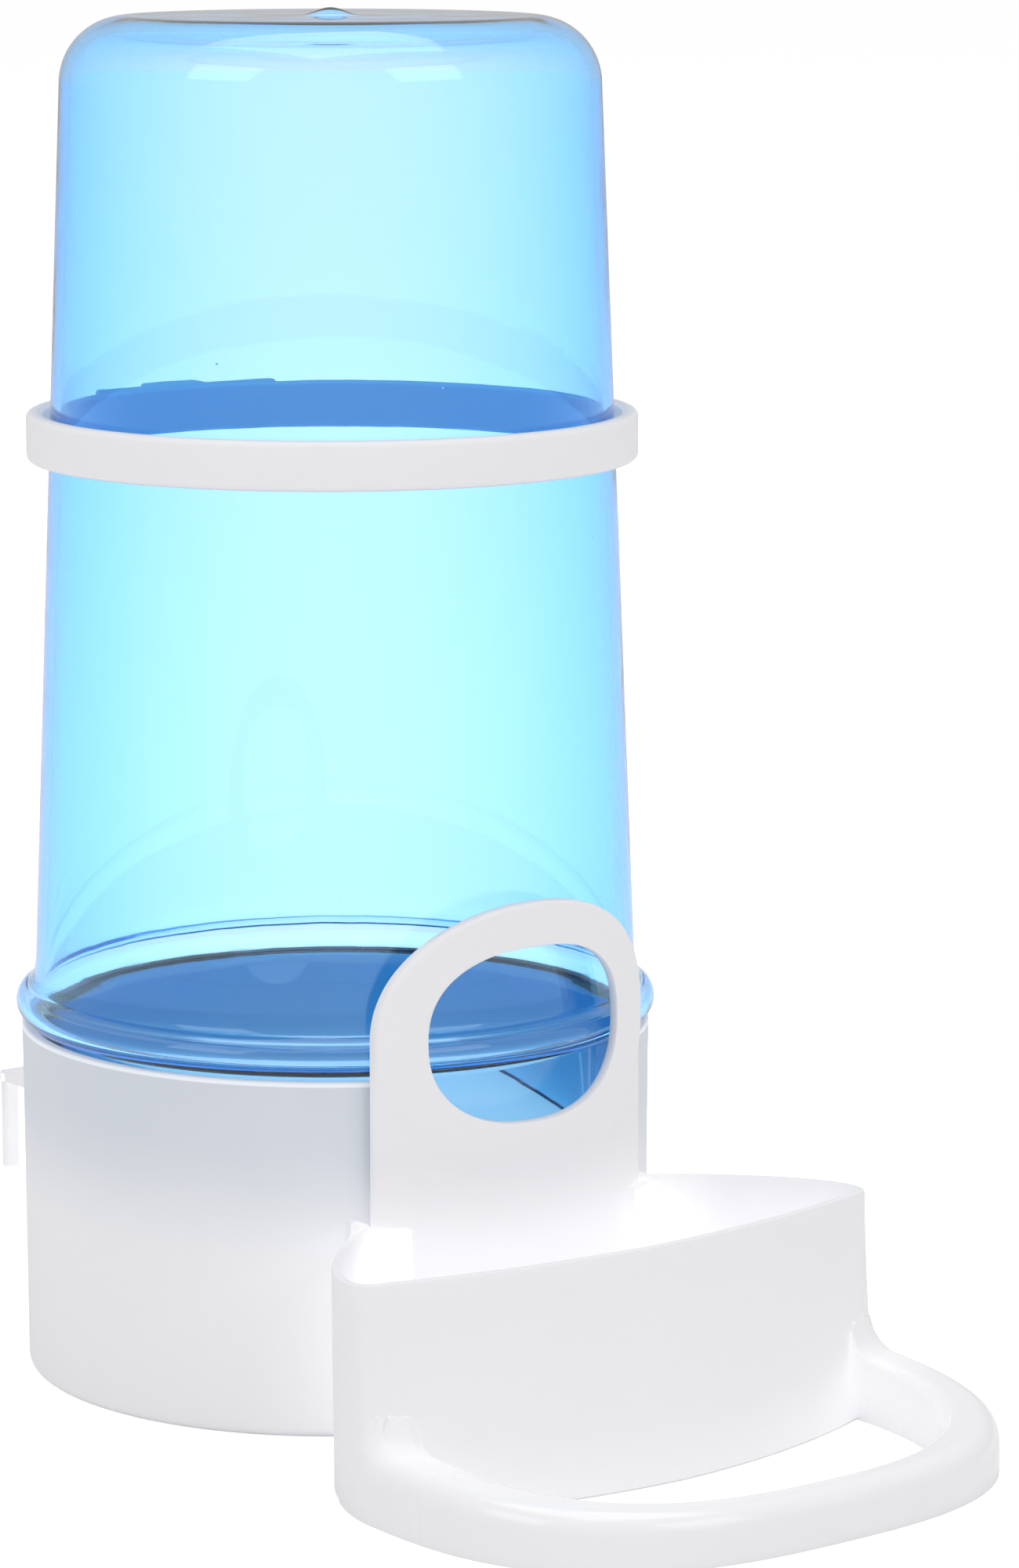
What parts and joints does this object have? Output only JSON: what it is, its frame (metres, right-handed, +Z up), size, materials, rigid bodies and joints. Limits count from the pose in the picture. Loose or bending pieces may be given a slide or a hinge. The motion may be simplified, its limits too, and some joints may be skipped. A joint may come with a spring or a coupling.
{
  "type": "cage gravity drinker",
  "caption": "Gravity drinker for a cage: clear inverted reservoir in a round base with a front trough, a sliding shutter, a D-shaped perch bar and cage hooks.",
  "frame": {"origin": "on the axis of the round drum, on the flat underside that the base stands on", "axes": "+Z up along the reservoir's axis, -Y towards the trough and the perch, +Y towards the cage hooks"},
  "size_m": [0.1018, 0.1813, 0.2151],
  "materials": {
    "white_plastic": "satin, slightly translucent",
    "blue_clear_plastic": "clear gloss"
  },
  "bodies": {
    "base": {"base": "white_plastic"},
    "reservoir": {"reservoir": "blue_clear_plastic"},
    "collar": {"collar": "white_plastic"},
    "shutter": {"shutter": "white_plastic"}
  },
  "joints": [
    {"name": "reservoir_lift", "type": "slide", "parent": "base", "child": "reservoir", "axis": [0, 0, 1], "range_m": [0, 0.06]},
    {"name": "collar_slide", "type": "slide", "parent": "reservoir", "child": "collar", "axis": [0, 0, 1], "range_m": [-0.016, 0.072]},
    {"name": "shutter_slide", "type": "slide", "parent": "base", "child": "shutter", "axis": [0, 0, 1], "range_m": [0, 0.03]}
  ]
}
